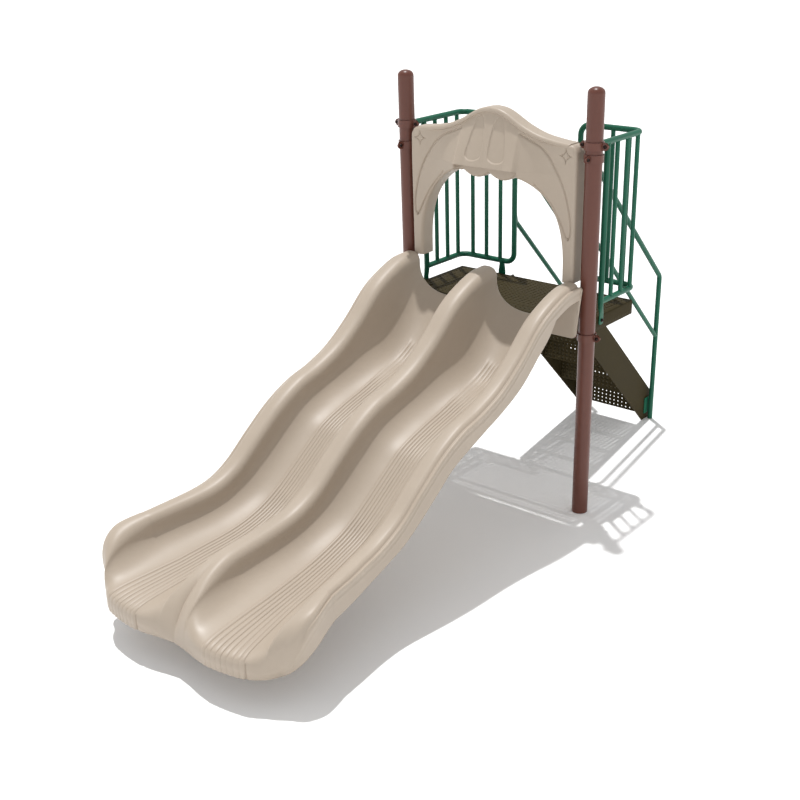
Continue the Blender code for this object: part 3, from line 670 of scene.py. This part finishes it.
CLAMP_TALL = 0.0195          # half height
EAR_HALF = 0.0055            # half thickness of an ear
EAR_TIP = 0.0840             # reach from the post's axis
EAR_ROUND = 0.0640           # where an ear's rounded end begins
BOLT_REACH = 0.066
BOLT_FACE = 0.0090
GUARD_CLAMP_DROP = 0.006


def clamp_band(name, node_name, centre, turn):
    """A two-ear pipe clamp: a thin collar whose ears end in half rounds."""
    outer = POST_R + 0.0068
    inner = POST_R + 0.0009
    theta = 2 * np.pi * np.arange(240) / 240
    across = EAR_TIP / np.maximum(np.abs(np.cos(theta)), 1e-6)
    ear = np.minimum(EAR_HALF / np.maximum(np.abs(np.sin(theta)), 1e-6), across)
    reach = (outer ** 14 + ear ** 14) ** (1 / 14)
    reach = np.minimum(reach, across)
    x = reach * np.cos(theta)
    y = reach * np.sin(theta)
    out = np.clip((np.abs(x) - EAR_ROUND) / 0.0205, 0, 1)
    height = CLAMP_TALL * np.sqrt(1 - out ** 2)
    hole = np.stack((inner * np.cos(theta), inner * np.sin(theta)), axis=-1)
    rings = ([(a, b, -CLAMP_TALL) for a, b in hole], zip(x, y, -height),
             zip(x, y, height), [(a, b, CLAMP_TALL) for a, b in hole])
    bm = bmesh.new()
    loops = [[bm.verts.new(point) for point in ring] for ring in rings]
    loops.append(loops[0])
    for low, high in zip(loops, loops[1:]):
        for i in range(len(theta)):
            j = (i + 1) % len(theta)
            bm.faces.new((low[i], low[j], high[j], high[i]))
    band = bm_object(name, bm)
    band.rotation_euler.z = math.radians(turn)
    band.location = centre
    add_piece(band, [node_name], M["post"])


def bolt_heads(name, node_name, places):
    """Button heads with a hex socket; places are (middle, direction) pairs."""
    profile = ((0.0, 0.0022), (0.0034, 0.0022), (0.0036, 0.0052), (0.0052, 0.0050),
               (0.0076, 0.0038), (0.0092, 0.0015), (0.0095, -0.0035), (0.0, -0.0035))
    bm = bmesh.new()
    for spot, direction in places:
        turn = Vector(direction).to_track_quat("Z", "Y").to_matrix()
        rings = []
        for radius, height in profile:
            sides = []
            for i in range(24):
                angle = 2 * math.pi * i / 24
                hexed = 1.0
                if 0 < radius < 0.004:
                    hexed = 1 / math.cos((angle + math.pi / 6) % (math.pi / 3) - math.pi / 6)
                at = Vector((max(radius, 1e-5) * hexed * math.cos(angle),
                             max(radius, 1e-5) * hexed * math.sin(angle), height))
                sides.append(bm.verts.new(Vector(spot) + turn @ at))
            rings.append(sides)
        for low, high in zip(rings, rings[1:]):
            for i in range(24):
                j = (i + 1) % 24
                bm.faces.new((low[i], low[j], high[j], high[i]))
    bmesh.ops.remove_doubles(bm, verts=bm.verts, dist=0.00003)
    obj = bm_object(name, bm)
    add_piece(obj, [node_name], M["steel"], smooth_angle=0.6)


def make_clamps():
    for side, sign in (("left", -1), ("right", 1)):
        straight = 0 if sign > 0 else 180
        turns = {"guard": straight, "panel": -90, "deck": straight}
        for kind, turn in turns.items():
            node_name = kind + "_clamp_" + side
            z = middle(node_name).z - (GUARD_CLAMP_DROP if kind == "guard" else 0)
            centre = Vector((sign * POST_X, 0, z))
            clamp_band(kind + "_collar_" + side, node_name, centre, turn)
            angle = math.radians(turn)
            out = Vector((math.cos(angle), math.sin(angle), 0))
            face = Vector((math.sin(angle), -math.cos(angle), 0))
            if face.y > 0.001:
                face = -face
            places = []
            for end in (1, -1):
                for way in (face, -face):
                    places.append((centre + out * BOLT_REACH * end + way * BOLT_FACE, way))
            bolt_heads(kind + "_collar_bolts_" + side, kind + "_clamp_bolt_" + side, places)


# ---------------------------------------------------------------- perforated sheets
HOLE_ACROSS = 0.0305         # pitch of the holes
HOLE_ALONG = 0.0265
HOLE_R = 0.0050
EDGE_SHARES = (0, 0.2113, 0.5, 0.7887)  # points on a cell's edge that face its hole
FOLD_R = 0.007
NOTCH_WIDE = 0.110           # deck corner cut away round each post
NOTCH_BACK = 0.060


def holed_sheet(name, us, vs, kind, fold):
    """A sheet over grid lines; kind says of each cell if it is absent, plain or holed."""
    bm = bmesh.new()
    known = {}

    def vert(u, v):
        key = (round(u, 6), round(v, 6))
        if key not in known:
            known[key] = bm.verts.new(fold(u, v))
        return known[key]

    for u0, u1 in zip(us, us[1:]):
        for v0, v1 in zip(vs, vs[1:]):
            what = kind((u0 + u1) / 2, (v0 + v1) / 2)
            if what == "absent":
                continue
            rim = [(u0 + (u1 - u0) * f, v0) for f in EDGE_SHARES]
            rim += [(u1, v0 + (v1 - v0) * f) for f in EDGE_SHARES]
            rim += [(u1 + (u0 - u1) * f, v1) for f in EDGE_SHARES]
            rim += [(u0, v1 + (v0 - v1) * f) for f in EDGE_SHARES]
            outer = [vert(u, v) for u, v in rim]
            if what == "plain":
                bm.faces.new(outer)
                continue
            cu, cv = (u0 + u1) / 2, (v0 + v1) / 2
            inner = []
            for u, v in rim:
                angle = math.atan2((v - cv) / (v1 - v0), (u - cu) / (u1 - u0))
                inner.append(bm.verts.new(fold(cu + HOLE_R * math.cos(angle),
                                               cv + HOLE_R * math.sin(angle))))
            for i in range(16):
                j = (i + 1) % 16
                bm.faces.new((outer[i], outer[j], inner[j], inner[i]))
    mesh = bpy.data.meshes.new(name)
    bm.to_mesh(mesh)
    bm.free()
    obj = bpy.data.objects.new(name, mesh)
    wall = obj.modifiers.new("wall", "SOLIDIFY")
    wall.thickness = SHEET
    wall.offset = -1
    return obj


def folded(at, edge):
    """(place, drop) of a sheet coordinate past a downward fold at an outer edge."""
    start = edge - FOLD_R
    past = at - start
    if past <= 0:
        return at, 0.0
    arc_length = FOLD_R * math.pi / 2
    if past < arc_length:
        return start + FOLD_R * math.sin(past / FOLD_R), FOLD_R * (1 - math.cos(past / FOLD_R))
    return edge, FOLD_R + past - arc_length


def fold_lines(edge, depth):
    """Sheet coordinates of the lines across a fold and down its flange."""
    start = edge - FOLD_R
    arc_length = FOLD_R * math.pi / 2
    lines = [start + arc_length * i / 4 for i in range(5)]
    lines.append(start + arc_length + depth - FOLD_R)
    return lines


def make_deck():
    half = DECK_HIGH.x
    front = DECK_LOW.y - Y0
    back = DECK_HIGH.y - Y0
    depth = DECK_HIGH.z - DECK_LOW.z
    notch_half = half - NOTCH_WIDE
    notch_back = NOTCH_BACK
    columns = [HOLE_ACROSS * (i - 19) for i in range(39)]
    side = fold_lines(half, depth)
    us = [-u for u in side[::-1]] + [-notch_half] + columns + [notch_half] + side
    us = sorted(set(round(u, 6) for u in us))
    rows = [back - 0.018 - HOLE_ALONG * i for i in range(19)][::-1]
    ahead = fold_lines(-front, depth)
    vs = [-v for v in ahead[::-1]] + rows + [notch_back] + fold_lines(back, depth)
    vs = sorted(set(round(v, 6) for v in vs))
    flat_u = half - FOLD_R
    flat_front = front + FOLD_R
    flat_back = back - FOLD_R

    def kind(u, v):
        beside = abs(u) > flat_u
        beyond = v > flat_back or v < flat_front
        if beside and beyond:
            return "absent"
        if abs(u) > notch_half and v < notch_back:
            return "absent"
        if beside or beyond or abs(u) > columns[-1] or not rows[0] < v < rows[-1]:
            return "plain"
        if abs(u) > notch_half - 0.036 and v < notch_back + 0.02:
            return "plain"
        cell_u = abs((u / HOLE_ACROSS) % 1 - 0.5) < 0.05
        cell_v = abs(((v - rows[0]) / HOLE_ALONG) % 1 - 0.5) < 0.05
        return "holed" if cell_u and cell_v else "plain"

    def fold(u, v):
        x, down = folded(abs(u), half)
        ahead_of, more = folded(v, back) if v > 0 else folded(-v, -front)
        y = ahead_of if v > 0 else -ahead_of
        return math.copysign(x, u), y, DECK_HIGH.z - down - more

    obj = holed_sheet("deck_sheet", us, vs, kind, fold)
    add_piece(obj, ["deck"], M["deck"])


def make_steps():
    for number in range(1, 5):
        low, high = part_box("step_" + str(number))
        front = high.y - Y0
        drop = high.z - low.z
        run = high.y - low.y
        width = high.x
        columns = [HOLE_ACROSS * (i - 7.5) for i in range(16)]
        us = sorted([-width] + columns + [width])
        riser = [0.0045 + HOLE_ALONG * i for i in range(8)]
        start = drop - FOLD_R
        arc_length = FOLD_R * math.pi / 2
        bend = [start + arc_length * i / 4 for i in range(5)]
        tread_end = start + arc_length + run - FOLD_R
        tread = [tread_end - 0.006 - HOLE_ALONG * i for i in range(8)][::-1]
        vs = sorted(set(round(v, 6) for v in [0.0] + riser + bend + tread + [tread_end]))

        def kind(u, v):
            if abs(u) > columns[-1]:
                return "plain"
            for rows in (riser, tread):
                if rows[0] < v < rows[-1]:
                    return "holed"
            return "plain"

        def fold(u, v):
            if v <= start:
                return u, front, low.z + v
            past = v - start
            if past < arc_length:
                return (u, front - FOLD_R * (1 - math.cos(past / FOLD_R)),
                        high.z - FOLD_R * (1 - math.sin(past / FOLD_R)))
            return u, front - FOLD_R - (past - arc_length), high.z

        obj = holed_sheet("step_sheet_" + str(number), us, vs, kind, fold)
        add_piece(obj, ["step_" + str(number)], M["deck"])


# ---------------------------------------------------------------- guards
GATE_X = 0.219               # inner end of each guard
HAND_X = 0.264               # plane of each handrail
HAND_START = 0.222
POLE_Y = 1.429


def guard_tube(name, node_name, points, radius):
    add_piece(tube(name, points, radius), [node_name], M["green"])


def oval(half_x, half_y, z, centre, power=2.0, count=28):
    angle = 2 * np.pi * np.arange(count) / count
    c, s = np.cos(angle), np.sin(angle)
    x = centre[0] + half_x * np.sign(c) * np.abs(c) ** (2 / power)
    y = centre[1] + half_y * np.sign(s) * np.abs(s) ** (2 / power)
    return [(a, b, z) for a, b in zip(x, y)]


def make_guards():
    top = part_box("guard_frame_right")[1].z - RAIL_R
    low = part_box("guard_frame_right")[0].z + RAIL_R
    for side, sign in (("left", -1), ("right", 1)):
        x = sign * GUARD_X
        end = sign * GATE_X
        front = middle("guard_leg_" + side).y - Y0
        corners = ((x, 0.050, top), (x, GUARD_Y, top), (end, GUARD_Y, top),
                   (end, GUARD_Y, low), (x, GUARD_Y, low), (x, front, low))
        guard_tube("guard_rail_" + side, "guard_frame_" + side, bent_path(corners, 0.055), RAIL_R)
        rings = (oval(RAIL_R, RAIL_R, top, (x, front)), oval(RAIL_R, RAIL_R, 1.205, (x, front)),
                 oval(0.011, 0.0185, 1.172, (x + sign * 0.003, front), 2.4),
                 oval(0.0042, 0.021, 1.150, (sign * (DECK_HIGH.x + 0.0045), front), 4),
                 oval(0.0040, 0.021, 1.094, (sign * (DECK_HIGH.x + 0.0045), front), 4),
                 oval(0.0038, 0.015, 1.085, (sign * (DECK_HIGH.x + 0.0045), front), 3))
        leg = rings_object("guard_post_" + side, rings)
        add_piece(leg, ["guard_leg_" + side], M["green"])
        foot_x = middle("guard_foot_" + side).x
        back = DECK_HIGH.y - Y0 + 0.0045
        rings = (oval(RAIL_R, RAIL_R, low, (foot_x, GUARD_Y)),
                 oval(RAIL_R, RAIL_R, 1.192, (foot_x, GUARD_Y)),
                 oval(0.021, 0.011, 1.168, (foot_x, GUARD_Y), 2.4),
                 oval(0.025, 0.0042, 1.150, (foot_x, back), 4),
                 oval(0.025, 0.0040, 1.094, (foot_x, back), 4),
                 oval(0.018, 0.0038, 1.085, (foot_x, back), 3))
        foot = rings_object("guard_tab_" + side, rings)
        add_piece(foot, ["guard_foot_" + side], M["green"])
        for number in range(1, 7):
            name = side + "_" + str(number)
            centre = middle("guard_picket_" + name)
            points = ((centre.x, centre.y - Y0, low), (centre.x, centre.y - Y0, top))
            guard_tube("guard_bar_" + name, "guard_picket_" + name, points, PICKET_R)


def make_handrails():
    for side, sign in (("left", -1), ("right", 1)):
        x = sign * HAND_X
        start = sign * HAND_START
        corners = ((start, 0.500, 1.920), (x, 0.575, 1.840), (x, POLE_Y, 0.986), (x, POLE_Y, 0))
        guard_tube("handrail_tube_" + side, "handrail_" + side, bent_path(corners, 0.045), RAIL_R)
        corners = ((start, 0.500, 1.515), (x, 0.575, 1.435), (x, POLE_Y, 0.581))
        guard_tube("handrail_low_" + side, "handrail_lower_" + side, bent_path(corners, 0.045),
                   0.014)


def make_guard_bolts():
    for side, sign in (("left", -1), ("right", 1)):
        for part, direction in (("leg", (sign, 0, 0)), ("foot", (0, 1, 0))):
            node_name = "guard_" + part + "_bolt_" + side
            spot = middle(node_name) - Vector((0, Y0, 0))
            bolt_heads("guard_" + part + "_screw_" + side, node_name, [(spot, direction)])


# ---------------------------------------------------------------- CAD nodes that stay
def finish_cad_nodes():
    """The hidden legs, the pole plates and the stringers keep their CAD shapes."""
    looks = {"exit_leg": "post", "handrail_tab": "green", "stringer": "deck"}
    for name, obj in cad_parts.items():
        for start, look in looks.items():
            if name.startswith(start):
                obj.data.materials.clear()
                obj.data.materials.append(M[look])
                if look != "green":
                    soften_edges(obj, 0.0015)


# ---------------------------------------------------------------- studio
HORIZON = 0.98
ZENITH = 0.60
SUN = 2.75


def make_floor():
    bm = bmesh.new()
    bmesh.ops.create_grid(bm, x_segments=2, y_segments=2, size=80)
    floor = bm_object("studio_floor", bm)
    material = bpy.data.materials.new("studio_white")
    material.use_nodes = True
    shader = material.node_tree.nodes["Principled BSDF"]
    shader.inputs["Base Color"].default_value = (0.95, 0.95, 0.95, 1)
    shader.inputs["Roughness"].default_value = 0.9
    shader.inputs["Specular IOR Level"].default_value = 0.1
    floor.data.materials.append(material)
    bpy.context.scene.collection.objects.link(floor)
    floor.location.z = -0.0005


def make_light():
    world = bpy.data.worlds.new("studio")
    bpy.context.scene.world = world
    world.use_nodes = True
    tree = world.node_tree
    sky = tree.nodes["Background"]
    sky.inputs["Strength"].default_value = 1.0
    place = tree.nodes.new("ShaderNodeTexCoord")
    height = tree.nodes.new("ShaderNodeSeparateXYZ")
    tree.links.new(place.outputs["Generated"], height.inputs[0])
    bright = tree.nodes.new("ShaderNodeMapRange")
    bright.inputs["From Min"].default_value = 0.0
    bright.inputs["From Max"].default_value = 1.0
    bright.inputs["To Min"].default_value = HORIZON
    bright.inputs["To Max"].default_value = ZENITH
    tree.links.new(height.outputs["Z"], bright.inputs["Value"])
    tree.links.new(bright.outputs["Result"], sky.inputs["Color"])
    sun = bpy.data.lights.new("key", "SUN")
    sun.energy = SUN
    sun.angle = 0.022
    lamp = bpy.data.objects.new("key", sun)
    towards = Vector((-0.180, 0.125, 1.0))
    lamp.rotation_euler = towards.to_track_quat("Z", "Y").to_euler()
    bpy.context.scene.collection.objects.link(lamp)


def make_camera():
    """A camera to the right of the slide's exit, looking down at the arch."""
    azimuth, elevation, roll = (math.radians(a) for a in (38.83, 27.06, -1.09))
    back = Vector((math.sin(azimuth) * math.cos(elevation),
                   -math.cos(azimuth) * math.cos(elevation), math.sin(elevation)))
    right = Vector((math.cos(azimuth), math.sin(azimuth), 0))
    up = back.cross(right)
    turned_right = right * math.cos(roll) + up * math.sin(roll)
    turned_up = up * math.cos(roll) - right * math.sin(roll)
    data = bpy.data.cameras.new("camera")
    data.lens = 53.48
    data.sensor_width = 36
    data.shift_x = -0.05
    data.shift_y = 0.125
    camera = bpy.data.objects.new("camera", data)
    turn = Matrix((turned_right, turned_up, back)).transposed().to_4x4()
    camera.matrix_world = Matrix.Translation((3.798, -5.246 + Y0, 3.193)) @ turn
    bpy.context.scene.collection.objects.link(camera)
    bpy.context.scene.camera = camera


# ---------------------------------------------------------------- build
make_camera()
make_light()
make_floor()
make_slide()
make_panel()
make_posts()
make_clamps()
make_deck()
make_steps()
make_guards()
make_guard_bolts()
make_handrails()
finish_cad_nodes()
bpy.context.scene.view_settings.view_transform = "Standard"
